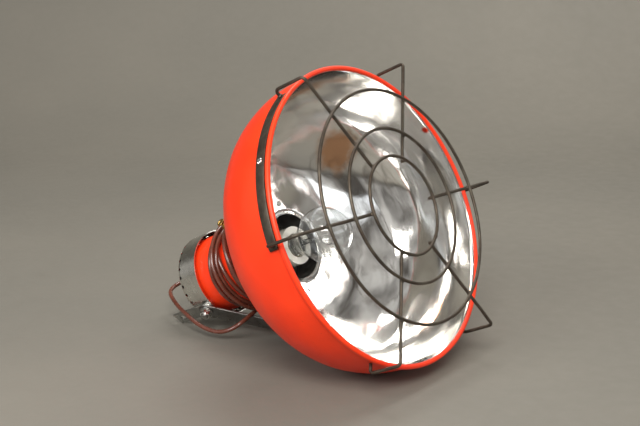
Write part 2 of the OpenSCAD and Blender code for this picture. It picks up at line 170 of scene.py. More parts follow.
def revolve_data(profile, segs, closed=False, place=W, warp=None):
    """Vertices, faces and profile index of each face, for (r, z) points turned about z."""
    n = len(profile)
    verts, faces, which = [], [], []
    for k in range(segs):
        a = math.radians(360 * k / segs)
        for r, z in profile:
            if warp:
                r, z = warp(r, z, a)
            verts.append(place(-math.sin(a) * r, math.cos(a) * r, z))
    for k in range(segs):
        a, b = k * n, ((k + 1) % segs) * n
        for i in range(n if closed else n - 1):
            j = (i + 1) % n
            faces.append((a + i, a + j, b + j, b + i))
            which.append(i)
    return verts, faces, which


def frames(pts, closed=False):
    """Rotation-minimising side vectors along a line of points."""
    n = len(pts)
    tan = []
    for i in range(n):
        a = pts[(i - 1) % n] if closed or i > 0 else pts[0]
        b = pts[(i + 1) % n] if closed or i < n - 1 else pts[-1]
        tan.append((b - a).normalized())
    u = tan[0].orthogonal().normalized()
    out = []
    for i in range(n):
        u = (u - tan[i] * u.dot(tan[i])).normalized()
        out.append((u.copy(), tan[i].cross(u), tan[i]))
    return out


def tube_data(pts, radius, sides, closed=False):
    """A round tube along pts, in metres, with rounded ends. radius is a number or one per point."""
    n = len(pts)
    rad = list(radius) if isinstance(radius, (list, tuple)) else [radius] * n
    pts = list(pts)
    fr = frames(pts, closed)
    rings = list(zip(pts, rad, fr))
    if not closed:
        p, r, f = rings[0]
        rings = [(p - f[2] * r * 0.3, r * 0.55, f), (p - f[2] * r * 0.12, r * 0.85, f)] + rings
        p, r, f = rings[-1]
        rings = rings + [(p + f[2] * r * 0.12, r * 0.85, f), (p + f[2] * r * 0.3, r * 0.55, f)]
    verts, faces = [], []
    for p, r, (u, v, t) in rings:
        for k in range(sides):
            a = 2 * math.pi * k / sides
            verts.append(p + u * (r * math.cos(a)) + v * (r * math.sin(a)))
    m = len(rings)
    for i in range(m if closed else m - 1):
        a, b = i * sides, ((i + 1) % m) * sides
        shift = 0
        if closed and i == m - 1:
            shift = min(range(sides), key=lambda s: (verts[a] - verts[s]).length)
        for k in range(sides):
            j = (k + 1) % sides
            faces.append((a + k, a + j, b + (j + shift) % sides, b + (k + shift) % sides))
    if not closed:
        faces.append(tuple(range(sides)))
        faces.append(tuple((m - 1) * sides + k for k in reversed(range(sides))))
    return verts, faces


class Parts:
    """Collects several solids into one object."""

    def __init__(self):
        self.verts, self.faces = [], []

    def add(self, verts, faces):
        base = len(self.verts)
        self.verts += list(verts)
        self.faces += [tuple(base + i for i in f) for f in faces]

    def object(self, name, mat, body, slot):
        return make(name, self.verts, self.faces, [mat], body, slot)


def smooth_line(pts, per):
    """A Catmull-Rom curve through the points, per steps from each to the next."""
    q = [2 * pts[0] - pts[1]] + list(pts) + [2 * pts[-1] - pts[-2]]
    out = []
    for i in range(1, len(q) - 2):
        a, b, c, d = q[i - 1], q[i], q[i + 1], q[i + 2]
        for k in range(per):
            t = k / per
            cubic = 3 * b - a - 3 * c + d
            out.append(
                0.5 * (2 * b + (c - a) * t + (2 * a - 5 * b + 4 * c - d) * t * t + cubic * t**3)
            )
    out.append(pts[-1].copy())
    return out


def blob(centre, sizes, axes, sides, rings, rough, seed):
    """A small lump with half-sizes along three axes."""
    verts = []
    for i in range(rings + 1):
        th = math.pi * i / rings
        for k in range(sides):
            a = 2 * math.pi * k / sides
            d = Vector((math.sin(th) * math.cos(a), math.sin(th) * math.sin(a), math.cos(th)))
            s = 1 + rough * noise.noise(d * 2.3 + Vector((seed, seed * 1.7, 0)))
            verts.append(
                centre
                + axes[0] * (d.x * sizes[0] * s)
                + axes[1] * (d.y * sizes[1] * s)
                + axes[2] * (d.z * sizes[2] * s)
            )
    return verts, bands(rings + 1, sides)


# ---------------------------------------------------------------- material helpers
class Mat:
    """A Principled material with short node calls."""

    def __init__(self, name, like=None, **sockets):
        self.m = like.copy() if like else bpy.data.materials.new(name)
        self.m.name = name
        self.m.use_nodes = True
        self.t = self.m.node_tree
        self.b = self.t.nodes["Principled BSDF"]
        for k, v in sockets.items():
            self.b.inputs[k.replace("_", " ")].default_value = v

    def node(self, kind, links=(), **props):
        n = self.t.nodes.new(kind)
        for k, v in props.items():
            if k.startswith("in_"):
                key = k[3:]
                key = int(key) if key.isdigit() else key.replace("_", " ")
                n.inputs[key].default_value = v
            else:
                setattr(n, k, v)
        for key, out in dict(links).items():
            self.t.links.new(out, n.inputs[key])
        return n

    def coords(self, lamp=False):
        """Object coordinates; in the lamp's own frame, in metres, if lamp is true."""
        c = self.node("ShaderNodeTexCoord").outputs["Object"]
        if not lamp:
            return c
        m = self.node(
            "ShaderNodeMapping",
            {"Vector": c},
            vector_type="TEXTURE",
            in_Location=(0, LAMP_Y * MM, RIM_H * MM),
            in_Rotation=(-(math.pi / 2 + TILT), 0, 0),
        )
        return m.outputs["Vector"]

    def cylindrical(self):
        """Lamp coordinates: the vector, x, y, z and the distance from the axis."""
        v = self.coords(lamp=True)
        sep = self.node("ShaderNodeSeparateXYZ", {"Vector": v})
        x, y, z = (sep.outputs[k] for k in "XYZ")
        square = self.math("ADD", self.math("MULTIPLY", x, x), self.math("MULTIPLY", y, y))
        return v, x, y, z, self.math("SQRT", square)

    def combine(self, **axes):
        return self.node("ShaderNodeCombineXYZ", axes).outputs["Vector"]

    def noise(self, vec, scale, detail=4.0, rough=0.55):
        n = self.node(
            "ShaderNodeTexNoise",
            {"Vector": vec},
            in_Scale=scale,
            in_Detail=detail,
            in_Roughness=rough,
        )
        return n.outputs["Fac"]

    def ramp(self, fac, *stops):
        n = self.node("ShaderNodeValToRGB", {"Fac": fac})
        e = n.color_ramp.elements
        while len(e) < len(stops):
            e.new(0.5)
        for s, (pos, col) in zip(e, stops):
            s.position = pos
            if isinstance(col, (int, float)):
                col = (col, col, col)
            s.color = (*col, 1)
        return n.outputs["Color"]

    def mix(self, fac, a, b):
        n = self.node("ShaderNodeMix", data_type="RGBA")
        for i, v in ((0, fac), (6, a), (7, b)):
            if isinstance(v, bpy.types.NodeSocket):
                self.t.links.new(v, n.inputs[i])
            elif isinstance(v, (int, float)):
                n.inputs[i].default_value = v
            else:
                n.inputs[i].default_value = (*v, 1)
        return n.outputs[2]

    def math(self, op, a, b=0.0):
        n = self.node("ShaderNodeMath", operation=op)
        for i, v in ((0, a), (1, b)):
            if isinstance(v, bpy.types.NodeSocket):
                self.t.links.new(v, n.inputs[i])
            else:
                n.inputs[i].default_value = v
        return n.outputs[0]

    def set(self, **links):
        for k, v in links.items():
            self.t.links.new(v, self.b.inputs[k.replace("_", " ")])
        return self

    def bump(self, *layers):
        """layers: (height socket, distance in metres, strength)."""
        prev = None
        for h, dist, strength in layers:
            n = self.node("ShaderNodeBump", {"Height": h}, in_Distance=dist, in_Strength=strength)
            if prev:
                self.t.links.new(prev, n.inputs["Normal"])
            prev = n.outputs["Normal"]
        self.t.links.new(prev, self.b.inputs["Normal"])
        return self


def lin(*c):
    """Linear values of an sRGB colour given as 0 to 255."""
    return tuple((v / 255 / 12.92) if v <= 10 else ((v / 255 + 0.055) / 1.055) ** 2.4 for v in c)


def grease(M, vec, scale):
    """A blotchy 0 to 1 field for dirt and handling."""
    n = M.noise(vec, scale, 6, 0.6)
    return M.ramp(n, (0.42, 0.0), (0.68, 1.0))


# ---------------------------------------------------------------- materials
def red_enamel():
    M = Mat(
        "red_enamel", IOR=1.45, Coat_Weight=0.1, Coat_Roughness=0.22, Specular_IOR_Level=0.36
    )
    v = M.coords()
    base = M.ramp(M.noise(v, 9, 3), (0.3, lin(240, 51, 16)), (0.72, lin(251, 65, 24)))
    spots = M.ramp(M.noise(v, 260, 3, 0.6), (0.69, 0.0), (0.75, 1.0))
    dirt = M.math("MULTIPLY", grease(M, v, 14), 0.16)
    c = M.mix(dirt, base, lin(150, 34, 18))
    c = M.mix(M.math("MULTIPLY", spots, 0.35), c, lin(120, 26, 14))
    M.set(Base_Color=c)
    M.set(Roughness=M.ramp(M.noise(v, 35, 5), (0.3, 0.36), (0.75, 0.5)))
    M.bump((M.noise(v, 28, 2), 0.0006, 0.12), (M.noise(v, 700, 2), 0.00012, 0.14))
    return M.m


def neck_enamel(outside):
    """The neck is painted red outside only: inside its wall the sheet is unpainted, dull, and
    coloured dark as painted shade in the bore.
    """
    M = Mat("neck_enamel", like=outside)
    v, _, _, _, r = M.cylindrical()
    inside = M.math("LESS_THAN", r, UNPAINTED_SHADED_R * MM)
    paint = M.b.inputs["Base Color"].links[0].from_socket
    # Painted shade: the unpainted inside gets a dark colour that stands in for the shade down the
    # neck's bore.
    unpainted_shaded = M.ramp(M.noise(v, 60, 5), (0.3, (0.11, 0.105, 0.1)), (0.75, (0.22, 0.21, 0.2)))
    M.set(Base_Color=M.mix(inside, paint, unpainted_shaded))
    M.set(Metallic=M.math("MULTIPLY", inside, 0.6))
    return M.m


def polished_inside():
    M = Mat("polished_aluminium", Metallic=1.0)
    v, x, y, z, r = M.cylindrical()
    streak = M.noise(M.combine(X=r, Y=z), 260, 5, 0.65)
    stain = grease(M, v, 17)
    c = M.ramp(M.noise(v, 6, 4), (0.3, (0.80, 0.79, 0.77)), (0.7, (0.91, 0.90, 0.88)))
    c = M.mix(M.math("MULTIPLY", stain, 0.22), c, (0.55, 0.50, 0.43))
    # A painted reflection: a warm patch on the far upper side stands in for an orange reflection;
    # the small spot is a touch of the outside's paint
    for at, size, tint, strength in (
        ((0.104, -0.098, 0.113), 0.034, (0.62, 0.27, 0.09), 0.8),
        ((0.1619, -0.082, 0.0078), 0.0062, (0.72, 0.05, 0.02), 1.0),
    ):
        off = M.node("ShaderNodeVectorMath", {0: v}, operation="DISTANCE", in_1=at)
        edge = M.math("MULTIPLY", M.noise(v, 38, 4), size * 1.3)
        ragged = M.math("ADD", off.outputs["Value"], edge)
        mask = M.ramp(M.math("DIVIDE", ragged, size * 1.65), (0.72, 1.0), (1.0, 0.0))
        c = M.mix(M.math("MULTIPLY", mask, strength), c, tint)
    M.set(Base_Color=c)
    ro = M.ramp(streak, (0.25, 0.05), (0.8, 0.15))
    M.set(Roughness=M.mix(M.math("MULTIPLY", stain, 0.5), ro, (0.26, 0.26, 0.26)))

    def wave(turn, run, scale, detail):
        """Noise that follows the spinning: unit direction about the axis, then the meridian."""
        q = M.combine(
            X=M.math("MULTIPLY", M.math("DIVIDE", x, r), turn),
            Y=M.math("MULTIPLY", M.math("DIVIDE", y, r), turn),
            Z=M.math("MULTIPLY", M.math("SUBTRACT", r, z), run),
        )
        return M.noise(q, scale, detail, 0.4)

    M.bump(
        (wave(0.8, 10, 1.6, 0.6), 0.009, 0.6),
        (wave(2.2, 26, 1.6, 1.0), 0.0014, 0.45),
        (M.noise(v, 60, 2, 0.5), 0.0006, 0.12),
        (streak, 0.00012, 0.22),
    )
    return M.m


def spun_cap():
    M = Mat("spun_aluminium", Metallic=1.0)
    v, _, _, z, r = M.cylindrical()
    streak = M.noise(M.combine(X=r, Y=z), 420, 6, 0.7)
    dull = grease(M, v, 22)
    c = M.ramp(streak, (0.25, (0.70, 0.69, 0.64)), (0.8, (0.88, 0.87, 0.82)))
    c = M.mix(M.math("MULTIPLY", dull, 0.45), c, (0.34, 0.32, 0.28))
    M.set(Base_Color=c)
    M.set(Roughness=M.ramp(M.noise(v, 60, 5, 0.6), (0.3, 0.16), (0.75, 0.34)))
    M.bump((streak, 0.0002, 0.3), (M.noise(v, 26, 2), 0.003, 0.3))
    return M.m


def steel(name, dark, bright, rough=(0.25, 0.45), rust=0.0, scale=90):
    M = Mat(name, Metallic=1.0)
    v = M.coords()
    c = M.ramp(M.noise(v, scale, 6, 0.65), (0.3, dark), (0.72, bright))
    if rust:
        c = M.mix(M.math("MULTIPLY", grease(M, v, 55), rust), c, lin(92, 60, 40))
    M.set(Base_Color=c)
    M.set(Roughness=M.ramp(M.noise(v, scale * 1.7, 4), (0.3, rough[0]), (0.75, rough[1])))
    M.bump((M.noise(v, 500, 4, 0.6), 0.0002, 0.3))
    return M.m


def guard_wire():
    M = Mat("guard_wire", Metallic=0.75)
    v = M.coords()
    c = M.ramp(M.noise(v, 70, 6, 0.7), (0.3, lin(58, 52, 46)), (0.75, lin(104, 96, 84)))
    c = M.mix(M.math("MULTIPLY", grease(M, v, 45), 0.5), c, lin(74, 56, 44))
    M.set(Base_Color=c)
    M.set(Roughness=M.ramp(M.noise(v, 220, 4), (0.3, 0.36), (0.75, 0.6)))
    M.bump((M.noise(v, 900, 4, 0.7), 0.0002, 0.4))
    return M.m


def porcelain():
    M = Mat("porcelain", IOR=1.54, Coat_Weight=0.4)
    v = M.coords()
    c = M.ramp(M.noise(v, 25, 4), (0.3, lin(226, 221, 208)), (0.75, lin(240, 237, 228)))
    c = M.mix(M.math("MULTIPLY", grease(M, v, 80), 0.25), c, lin(172, 158, 132))
    M.set(Base_Color=c)
    M.set(Roughness=M.ramp(M.noise(v, 120, 3), (0.3, 0.12), (0.8, 0.24)))
    M.bump((M.noise(v, 60, 3), 0.0004, 0.15))
    return M.m


def brass():
    M = Mat("brass", Metallic=1.0)
    v = M.coords()
    c = M.ramp(M.noise(v, 150, 5), (0.3, lin(196, 158, 84)), (0.75, lin(226, 192, 116)))
    c = M.mix(M.math("MULTIPLY", grease(M, v, 120), 0.5), c, lin(120, 84, 44))
    M.set(Base_Color=c)
    M.set(Roughness=M.ramp(M.noise(v, 300, 3), (0.3, 0.22), (0.75, 0.4)))
    M.bump((M.noise(v, 900, 3), 0.0001, 0.3))
    return M.m


def plastic(name, a, b, rough=(0.3, 0.45), bump=0.0002, scale=60, coat=0.0):
    M = Mat(name, IOR=1.5, Coat_Weight=coat)
    v = M.coords()
    M.set(Base_Color=M.ramp(M.noise(v, scale, 5, 0.6), (0.3, a), (0.75, b)))
    M.set(Roughness=M.ramp(M.noise(v, scale * 3, 4), (0.3, rough[0]), (0.75, rough[1])))
    M.bump((M.noise(v, 800, 3), bump, 0.3), (M.noise(v, 90, 3), bump * 3, 0.15))
    return M.m


def bulb_clear():
    M = Mat("bulb_glass", IOR=1.54, Transmission_Weight=1.0)
    v = M.coords()
    tint = M.ramp(M.noise(v, 30, 3), (0.3, (0.97, 0.98, 0.98)), (0.7, (0.94, 0.95, 0.95)))
    M.set(Base_Color=tint)
    M.set(Roughness=M.ramp(M.noise(v, 90, 4), (0.45, 0.0), (0.85, 0.06)))
    M.bump((M.noise(v, 18, 2), 0.0008, 0.08))
    return M.m


def studio_floor(name, a, b):
    M = Mat(name)
    v = M.coords()
    M.set(Base_Color=M.ramp(M.noise(v, 2.2, 5, 0.5), (0.3, a), (0.7, b)))
    M.set(Roughness=M.ramp(M.noise(v, 40, 3), (0.3, 0.62), (0.7, 0.78)))
    M.bump((M.noise(v, 300, 4), 0.0002, 0.15))
    return M.m


RED = red_enamel()
NECK = neck_enamel(RED)
POLISH = polished_inside()
SPUN = spun_cap()
WIRE = guard_wire()
ZINC = steel("zinc_steel", (0.42, 0.42, 0.40), (0.62, 0.62, 0.60), (0.24, 0.42), 0.15)
BRIGHT = steel("bright_nickel", (0.70, 0.69, 0.66), (0.86, 0.85, 0.83), (0.08, 0.2))
DULL = steel("dull_steel", (0.20, 0.20, 0.195), (0.36, 0.36, 0.345), (0.26, 0.44), 0.22)
PORCELAIN = porcelain()
BRASS = brass()
GLASS = bulb_clear()
BULB_METAL = steel("bulb_metal", (0.55, 0.55, 0.53), (0.74, 0.74, 0.71), (0.2, 0.36))
TUNGSTEN = steel("tungsten", (0.16, 0.16, 0.17), (0.3, 0.3, 0.31), (0.3, 0.5))
CORD = plastic("cord_sheath", lin(82, 42, 31), lin(112, 60, 45), (0.2, 0.34), 0.0001, 40, 0.35)
PLUG = plastic("plug_plastic", lin(56, 26, 16), lin(74, 36, 22), (0.28, 0.42), 0.0002, 50)
BLACK = plastic("black_rubber", lin(20, 20, 20), lin(34, 33, 32), (0.45, 0.65), 0.0003, 70)
BLACK_GLASS = plastic("black_glass", lin(14, 14, 15), lin(24, 24, 26), (0.08, 0.2))
LIVE = plastic("lead_brown", lin(96, 48, 26), lin(120, 62, 34), (0.3, 0.4))
NEUTRAL = plastic("lead_blue", lin(34, 78, 150), lin(46, 94, 170), (0.3, 0.4))


# ---------------------------------------------------------------- the lead
CORD_R = 2.75
GLAND = (20.0, -8.0)  # the lead's exit, off the lamp's axis
# The free loop, from inside the gland to where the winding starts
loop_points = [W(*GLAND, z) for z in (305, 313, 321, 330)] + [
    P(*p)
    for p in (
        (19, 305, 50), (16.5, 310.5, 47.5), (12.5, 315.5, 45.3), (7, 320, 43.2),
        (1, 323, 41.2), (-6, 324.8, 39.4), (-13.5, 325, 37.8), (-21, 323.3, 36.4),
        (-28, 319.5, 35), (-34, 313.5, 33.5), (-39, 306, 31.8), (-43.5, 298, 30),
        (-47.5, 290, 28.2), (-51, 282, 26.6), (-54.2, 274, 25.2), (-56.8, 266, 23.6),
        (-58.8, 258.5, 21.6), (-60.3, 251, 19.4), (-61.5, 243.5, 17.2), (-62, 236, 15.2),
        (-62.2, 228.5, 13.6), (-62, 220.5, 12.6), (-61.3, 212.5, 12.1), (-60, 204.5, 12.4),
        (-58.3, 196.7, 13.8), (-56.3, 189.5, 16.3), (-53.5, 183, 20), (-50, 177.8, 24.8),
        (-45.5, 174.5, 29.8), (-40, 173.2, 34.2), (-34, 173.8, 37.8),
    )
]
# The last stretch, from the winding's end to the plug
tail_points = [
    P(*p)
    for p in (
        (8.5, 111.8, 68.8), (16.5, 110.3, 67.3), (24.5, 108.5, 65), (32.3, 106.6, 61.7),
        (39.6, 105, 57.3), (46.5, 103.9, 51.8), (52.8, 103.3, 45.3), (58.8, 103.3, 38),
        (64.8, 103.9, 30.6), (71.5, 105.3, 23.4), (79, 107.7, 17.2), (87, 110.6, 12.4),
        (95.5, 113.6, 9.3), (104, 116.1, 7.8), (113, 117.5, 7.4),
    )
]
TURNS = 12.0
WIND_FROM, WIND_TO = 14.0, 8.0  # azimuths of the winding's ends
SWEEP = 360 * TURNS + WIND_FROM - WIND_TO  # degrees
RATE = SWEEP / TURNS
WIND_R = NECK_R + CORD_R + 0.15  # a strand that lies on the neck


def wander(t):
    """Where along the neck the winding runs after t turns, to and fro and a little uneven."""
    keys = (
        (0, 223), (0.8, 243), (1.35, 240), (2.05, 214), (2.75, 228), (3.15, 211),
        (5.2, 160), (7.0, 208), (7.75, 231), (8.15, 212), (9.9, 164), (10.8, 192),
        (11.4, 176), (12.0, 152.5),
    )
    for (a, za), (b, zb) in zip(keys, keys[1:]):
        if t <= b:
            s = (t - a) / (b - a)
            s = s * s * (3 - 2 * s) * 0.6 + s * 0.4
            break
    z = za + (zb - za) * s
    return z + 2.6 * min(1, t, TURNS - t) * math.sin(2 * math.pi * t * 1.37 + 0.8)


def wind_z(t):
    """wander, moved so that a turn passes beside the lock screws, never through them."""
    room, reach = 8.2, 34  # mm from a screw's axis, degrees over which the turn gives way
    z = wander(t)
    for lock in LOCK_PHI:
        off = (WIND_FROM - t * RATE - lock + 180) % 360 - 180
        crossing = t + off / RATE
        if 0 < crossing < TURNS:
            away = wander(crossing) - LOCK_Z
            side = math.copysign(1, away)
            z += side * max(0, room - side * away) * math.exp(-((off / reach) ** 2))
    return z


STEPS = 60  # points in a turn
count = int(TURNS * STEPS)
span = SWEEP / count
zs = [wind_z(TURNS * i / count) for i in range(count + 1)]
GAP = 2 * CORD_R + 0.05  # between the centres of strands that touch
# The least radius of each point, over the strands already wound under it
need = []
for i in range(count + 1):
    r = WIND_R
    for back in range(1, int(TURNS) + 1):
        j = i - round(360 * back / span)
        if j < 0:
            break
        for jj in (j - 1, j, j + 1):
            if 0 <= jj and abs(zs[i] - zs[jj]) < GAP:
                r = max(r, need[jj] + math.sqrt(GAP * GAP - (zs[i] - zs[jj]) ** 2))
    need.append(r)


def averaged(v):
    return [(v[max(i - 1, 0)] + v[i] + v[min(i + 1, count)]) / 3 for i in range(count + 1)]


rs = list(need)
for _ in range(90):
    rs = [max(n, r) for n, r in zip(need, averaged(rs))]
for _ in range(10):
    rs = averaged(rs)
winding = []
for i in range(count + 1):
    lift = max(0, 1 - i / 10) ** 2 * 9.0  # the loop comes on from outside
    winding.append(pol(WIND_FROM - span * i, rs[i] + lift, zs[i]))
loop = smooth_line(loop_points, 3)
cord_line = loop + winding[1:] + smooth_line(tail_points, 3)[1:]


def relax(line, centre, reach, rounds):
    """Even out the bends within reach points of centre, but never into the neck."""
    for _ in range(rounds):
        new = list(line)
        for i in range(centre - reach, centre + reach + 1):
            w = 0.5 * (1 - abs(i - centre) / (reach + 1))
            p = line[i].lerp((line[i - 1] + line[i + 1]) / 2, w)
            q = local(p)
            r = math.hypot(q.x, q.y)
            if 144 < q.z < 268 and r < WIND_R:
                p = W(q.x * WIND_R / r, q.y * WIND_R / r, q.z)
            new[i] = p
        line = new
    return line


joint_a = len(loop) - 1
joint_b = joint_a + len(winding) - 1
for centre, reach, rounds in ((12, 5, 10), (joint_a - 3, 19, 90), (joint_b, 12, 40)):
    cord_line = relax(cord_line, centre, reach, rounds)
verts, faces = tube_data(cord_line, CORD_R * MM, 16)
lead = make("mains_lead", verts, faces, CORD, "lamp", "brown_cord")
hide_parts("cord_loop", "cord_winding", "cord_tail")

# The plug: a moulded body with finger grips, and the two pins
plug_at = (113, 117.5, 7.4)
PLUG_L = 38.0
sections = []  # along the plug: distance, half width, half height
for s in range(41):
    x = PLUG_L * s / 40
    grow = min(1, max(0, (x - 3) / 11))
    grow = grow * grow * (3 - 2 * grow)
    hw, hh = 4.2 + 12.6 * grow, 4.2 + 2.7 * grow
    if 14 < x < 30:
        hw -= 0.55 * (0.5 - 0.5 * math.cos(2 * math.pi * (x - 14) / 4))
    end = 1 - 0.16 * max(0, (x - 36.2) / 1.8) ** 2
    start = 0.82 + 0.18 * min(1, x / 2)
    sections.append((x, hw * end * start, hh * end * start))
verts, K, SQUARE = [], 40, 0.55  # SQUARE below 1 flattens the section's sides
for x, hw, hh in sections:
    for k in range(K):
        a = 2 * math.pi * k / K
        c, s = math.cos(a), math.sin(a)
        verts.append(
            P(
                plug_at[0] + x,
                plug_at[1] + hw * math.copysign(abs(c) ** SQUARE, c),
                plug_at[2] + hh * math.copysign(abs(s) ** SQUARE, s),
            )
        )
faces = bands(len(sections), K) + ends(len(sections), K)
plug = make("plug", verts, faces, PLUG, "lamp", "brown_plastic")
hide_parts("plug_body")
pins, PIN_SIDES = Parts(), 20
prof = ((0, 2.0), (1.0, 2.0), (17.8, 2.0), (19.0, 1.95), (19.7, 1.5), (20.0, 0.6))
for side in (-1, 1):
    ctr = Vector((plug_at[0] + PLUG_L - 1, plug_at[1] + side * 9.5, plug_at[2]))
    ring = []
    for x, r in prof:
        for k in range(PIN_SIDES):
            a = 2 * math.pi * k / PIN_SIDES
            ring.append(P(ctr.x + x, ctr.y + r * math.cos(a), ctr.z + r * math.sin(a)))
    pins.add(ring, bands(len(prof), PIN_SIDES) + ends(len(prof), PIN_SIDES))
plug_pins = pins.object("plug_contact_pins", BULB_METAL, "lamp", "bulb_metal")
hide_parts("plug_pins")

# ---------------------------------------------------------------- shade
SKIRT, SHEET, CROWN_Z = 182.7, 1.2, 144.5
SH_R, SH_Z, SH_C = 116.5, 28.0, 66.2  # the shoulder's arc: radius, and its centre's z and r


def arc_points(cx, cz, r, a0, a1, n):
    """Points on an arc about (cx, cz), from a0 to a1 degrees."""
    return [
        (
            cx + r * math.cos(math.radians(a0 + (a1 - a0) * i / n)),
            cz + r * math.sin(math.radians(a0 + (a1 - a0) * i / n)),
        )
        for i in range(n + 1)
    ]


outer = [(r, CROWN_Z) for r in (42.0, 50, 58)]
outer += arc_points(SH_C, SH_Z, SH_R, 90, 0, 44)
outer += [(SKIRT, z) for z in (24, 18, 12, 7.5)] + [(182.75, 4.6)]
bead = arc_points(183, 0, 3.0, 66, -250, 34)
inner = [(SKIRT - SHEET, z) for z in (4.4, 8, 14, 21)]
inner += arc_points(SH_C, SH_Z, SH_R - SHEET, 0, 90, 44)
inner += [(r, CROWN_Z - SHEET) for r in (58, 50, 42.0)]
profile = outer + bead + inner
first_inner = len(outer) + len(bead) - 8  # the paint ends inside the bead


def shade_warp(r, z, a):
    """Spun sheet isn't perfectly even: a fraction of a millimetre of waviness."""
    d = Vector((math.sin(a) * 2.1, math.cos(a) * 2.1, z * 0.022))
    w = noise.noise(d * 1.6) * 0.32 + noise.noise(d * 4.0) * 0.1
    fade = min(1, max(0, (z - 6) / 30)) * min(1, max(0, (r - 62) / 30))
    return r + w * fade, z + w * 0.5 * fade


verts, faces, which = revolve_data(profile, 240, True, W, shade_warp)
side_of = [1 if i >= first_inner else 0 for i in which]
shell = make("shade_shell", verts, faces, [RED, POLISH], "lamp", "red_enamel", side_of)
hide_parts("shade")

# ---------------------------------------------------------------- guard
WIRE_R = 2.0
RINGS = ((60.0, "guard_ring_inner"), (94.0, "guard_ring_middle"), (142.0, "guard_ring_outer"))
RING_Z = -38.5
SPOKE_Z = RING_Z + 2 * WIRE_R - 0.05
RING_SEGS = 120
for n, (rr, node) in enumerate(RINGS):
    pts = []
    for k in range(RING_SEGS):
        a = 360.0 * k / RING_SEGS
        d = Vector((math.sin(math.radians(a)), math.cos(math.radians(a)), 5.0 * n))
        z = RING_Z + 0.25 * noise.noise(d * 2.1 + d)
        pts.append(pol(a, rr + 0.35 * noise.noise(d * 1.7), z))
    wire = tube_data(pts, WIRE_R * MM, 14, True)
    ob = make(node.replace("guard_", "wire_"), *wire, WIRE, "lamp", "dark_wire")
    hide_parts(node)

BEND = 5.0  # the spokes' bend radius
spokes = Parts()
for i in range(6):
    phi = ROLL + 60 * i
    tab = 182.8 if i % 3 == 0 else 184.8  # the end meets the skirt, or a side strap
    pts = []
    for r in (57.5, 70, 90, 110, 130, 150, 170, 185):
        d = Vector((r * 0.02, i * 3.0, 0))
        bow = 0.5 * noise.noise(d) if 62 < r < 180 else 0
        pts.append(pol(phi + 0.12 * noise.noise(d + d), r, SPOKE_Z + bow))
    quarter = [math.radians(90 * k / 6) for k in range(7)]
    for a in quarter:
        pts.append(pol(phi, 190 + BEND * math.sin(a), SPOKE_Z + BEND - BEND * math.cos(a)))
    for z in (-22, -10, 0):
        pts.append(pol(phi, 190 + BEND, z))
    for a in quarter:
        pts.append(pol(phi, 190 + BEND * math.cos(a), 5 + BEND * math.sin(a)))
    pts.append(pol(phi, tab + 0.6, 10))
    spokes.add(*tube_data(pts, WIRE_R * MM, 14))
spokes = spokes.object("wire_spokes", WIRE, "lamp", "dark_wire")
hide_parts("guard_spokes")

welds = Parts()


def weld(phi, r, z, sizes, rough, seed):
    """A lump of weld; sizes in mm outwards, round and along the axis."""
    axes = (radial(phi), radial(phi - 90), AXIS)
    welds.add(*blob(pol(phi, r, z), [v * MM for v in sizes], axes, 14, 8, rough, seed))


for i in range(6):
    phi = ROLL + 60 * i
    for rr, _ in RINGS:
        weld(phi, rr, RING_Z + 2.0, (3.3, 3.0, 1.7), 0.35, i * 3.1 + rr)
    if i % 3:
        weld(phi, 186.4, 10, (1.8, 3.4, 3.0), 0.35, i * 1.3 + 7)
weld(-38, 60, RING_Z, (2.5, 3.2, 2.5), 0.3, 4.4)  # the butt joint of the inner ring
welds = welds.object("wire_welds", WIRE, "lamp", "dark_wire")


def bevelled_arc(r0, r1, z0, z1, phi0, phi1, segs, edge):
    """A curved flat strap with rounded edges."""
    k3 = edge * 0.3
    prof = [
        (r0, z0 + edge), (r0 + k3, z0 + k3), (r0 + edge, z0),
        (r1 - edge, z0), (r1 - k3, z0 + k3), (r1, z0 + edge),
        (r1, (z0 + z1) / 2),
        (r1, z1 - edge), (r1 - k3, z1 - k3), (r1 - edge, z1),
        (r0 + edge, z1), (r0 + k3, z1 - k3), (r0, z1 - edge),
    ]
    rc, zc = (r0 + r1) / 2, (z0 + z1) / 2
    verts = []
    for k in range(segs + 1):
        phi = phi0 + (phi1 - phi0) * k / segs
        fr, fz = (0.75, 0.94) if k in (0, segs) else (1, 1)  # the ends taper a little
        for r, z in prof:
            verts.append(pol(phi, rc + (r - rc) * fr, zc + (z - zc) * fz))
    return verts, bands(segs + 1, len(prof)) + ends(segs + 1, len(prof))


for name, phi in (("near", ROLL + 90), ("far", ROLL - 90)):
    ob = make(
        "side_strap_" + name,
        *bevelled_arc(182.8, 184.8, 4.5, 17.5, phi - 32, phi + 32, 64, 0.5),
        WIRE, "lamp", "dark_wire",
    )
    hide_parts("guard_strap_" + name)


def pan_head(parts, base, axis, side, r, h, slot):
    """A domed screw head standing on base, with a cross recess slot wide."""
    prof = [(r, 0), (r, h * 0.25), (r * 0.96, h * 0.55), (r * 0.72, h * 0.92)]
    prof += [(r * 0.72 * 0.6, h), (0.001, h)]
    K = 32
    rings = []
    for rr, z in prof:
        ring = []
        for k in range(K):
            a = 2 * math.pi * k / K
            x, y = abs(rr * math.cos(a)), abs(rr * math.sin(a))
            crossed = x < slot / 2 or (y < slot / 2 and x < r * 0.55)
            cut = z > h * 0.5 and crossed and rr < r * 0.75
            ring.append((rr, z - h * 0.4 if cut else z))
        rings.append(ring)
    verts = spun(base, side, axis.cross(side), axis, rings)
    parts.add(verts, bands(len(prof), K) + [tuple(range(K))])


heads = Parts()
for phi in (ROLL + 90, ROLL - 90):
    pan_head(heads, pol(phi, 184.8, 11), radial(phi), AXIS, 3.8, 2.1, 1.1)
    shank = [pol(phi, r, 11) for r in (185.0, 183.0, 181.0, 179.5)]
    heads.add(*tube_data(shank, 2.0 * MM, 16))
heads = heads.object("strap_screw_set", BRIGHT, "lamp", "zinc_steel")
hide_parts("strap_screws")


